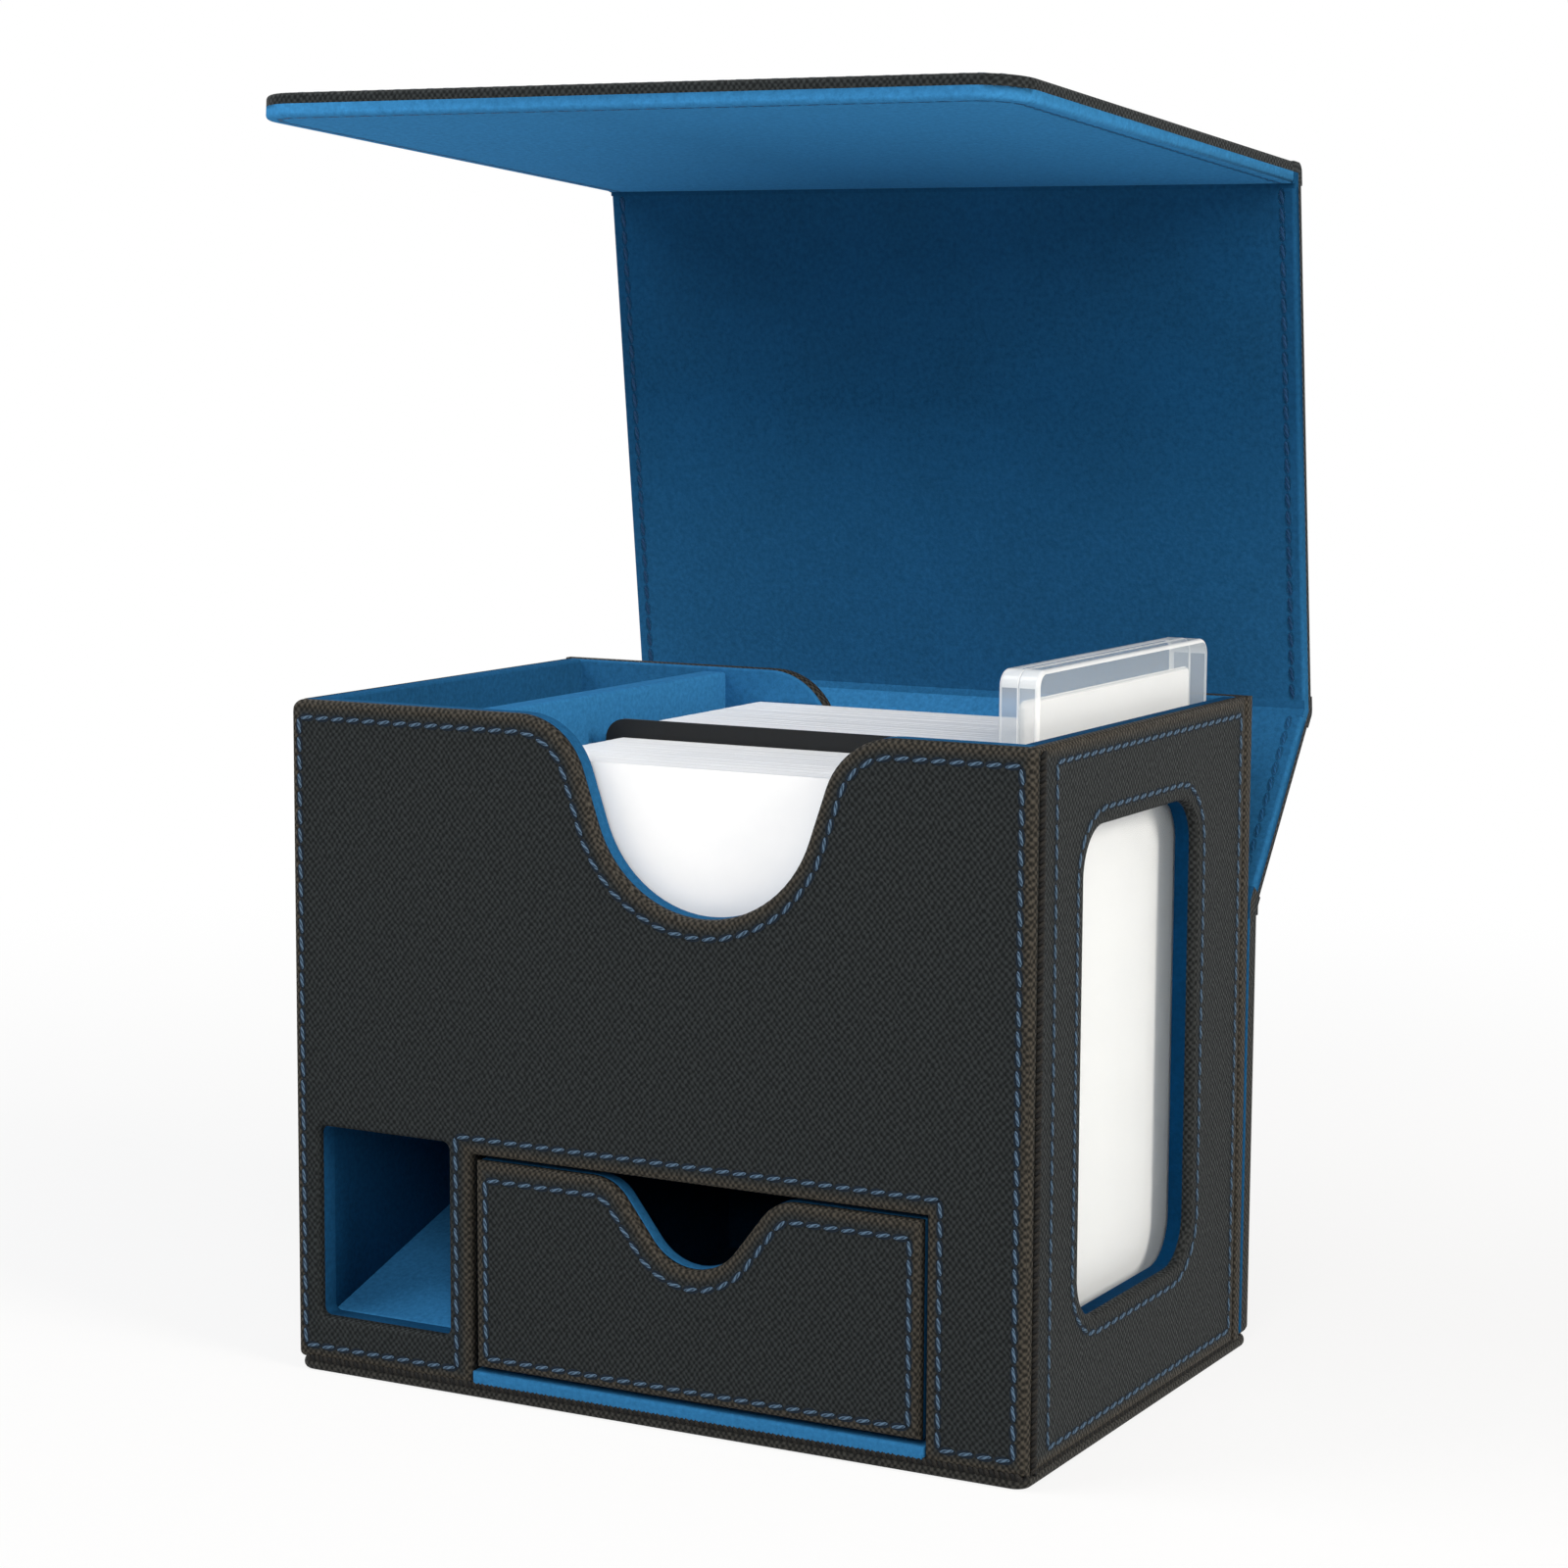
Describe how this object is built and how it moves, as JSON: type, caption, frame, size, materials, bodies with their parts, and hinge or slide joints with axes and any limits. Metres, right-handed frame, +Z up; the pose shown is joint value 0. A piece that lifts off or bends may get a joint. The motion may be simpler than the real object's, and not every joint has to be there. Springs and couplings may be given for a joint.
{
  "type": "card storage box",
  "caption": "Leatherette card box with a folding wrap cover, card well, dice tower, drawer and a clear display case behind a side window.",
  "frame": {"origin": "middle of the box's footprint, on the underside of the base", "axes": "+Z up, -Y towards the front with the drawer, +X towards the display window"},
  "size_m": [0.15, 0.1419, 0.2353],
  "materials": {
    "leatherette": "woven grain, satin",
    "blue_lining": "short microfibre nap",
    "lined_board": "covered in microfibre",
    "card_stock": "smooth sleeve",
    "clear_acrylic": "clear, polished",
    "black_plastic": "smooth, matt",
    "magnet": "plated"
  },
  "bodies": {
    "box": {"base_panel": "leatherette", "back_panel": "leatherette", "back_lining": "blue_lining", "front_panel": "leatherette", "front_lining": "blue_lining", "rear_panel": "leatherette", "rear_lining": "blue_lining", "left_panel": "leatherette", "left_lining": "blue_lining", "right_panel": "leatherette", "right_lining": "blue_lining", "tower_divider": "lined_board", "tower_ramp": "lined_board", "tower_baffle": "lined_board", "well_floor": "lined_board", "well_floor_lining": "blue_lining", "bay_floor": "lined_board", "bay_side": "lined_board", "pocket_panel": "lined_board", "pocket_floor": "lined_board", "front_magnets": "magnet", "back_crease": "leatherette"},
    "strip": {"strip_panel": "leatherette", "strip_lining": "blue_lining", "lid_crease": "leatherette"},
    "lid": {"lid_panel": "leatherette", "lid_lining": "blue_lining", "flap_crease": "leatherette"},
    "flap": {"flap_panel": "leatherette", "flap_lining": "blue_lining", "flap_magnets": "magnet"},
    "drawer": {"drawer_front": "leatherette", "drawer_front_lining": "blue_lining", "drawer_left_side": "lined_board", "drawer_right_side": "lined_board", "drawer_back": "lined_board", "drawer_floor": "lined_board", "drawer_floor_lining": "blue_lining"},
    "display": {"case_inner_half": "clear_acrylic", "case_outer_half": "clear_acrylic", "display_card": "card_stock"},
    "divider_card": {"card_divider": "black_plastic"},
    "front_cards": {"front_deck": "card_stock"},
    "rear_cards": {"rear_deck": "card_stock"}
  },
  "joints": [
    {"name": "back_fold", "type": "hinge", "parent": "box", "child": "strip", "pos_m": [0, 0.052, 0.0865], "axis": [-1, 0, 0], "range_deg": [-38.5, 51.5]},
    {"name": "lid_fold", "type": "hinge", "parent": "strip", "child": "lid", "pos_m": [0, 0.0792, 0.1207], "axis": [-1, 0, 0], "range_deg": [-44.5, 45.5]},
    {"name": "flap_fold", "type": "hinge", "parent": "lid", "child": "flap", "pos_m": [0, 0.06653, 0.22393], "axis": [-1, 0, 0], "range_deg": [-11.2, 78.8]},
    {"name": "drawer_slide", "type": "slide", "parent": "box", "child": "drawer", "axis": [0, -1, 0], "range_m": [0, 0.075]},
    {"name": "display_lift", "type": "slide", "parent": "box", "child": "display", "axis": [0, 0, 1], "range_m": [-0.0128, 0.075]},
    {"name": "divider_lift", "type": "slide", "parent": "box", "child": "divider_card", "axis": [0, 0, 1], "range_m": [0, 0.09]},
    {"name": "front_cards_lift", "type": "slide", "parent": "box", "child": "front_cards", "axis": [0, 0, 1], "range_m": [0, 0.09]},
    {"name": "rear_cards_lift", "type": "slide", "parent": "box", "child": "rear_cards", "axis": [0, 0, 1], "range_m": [0, 0.09]}
  ]
}
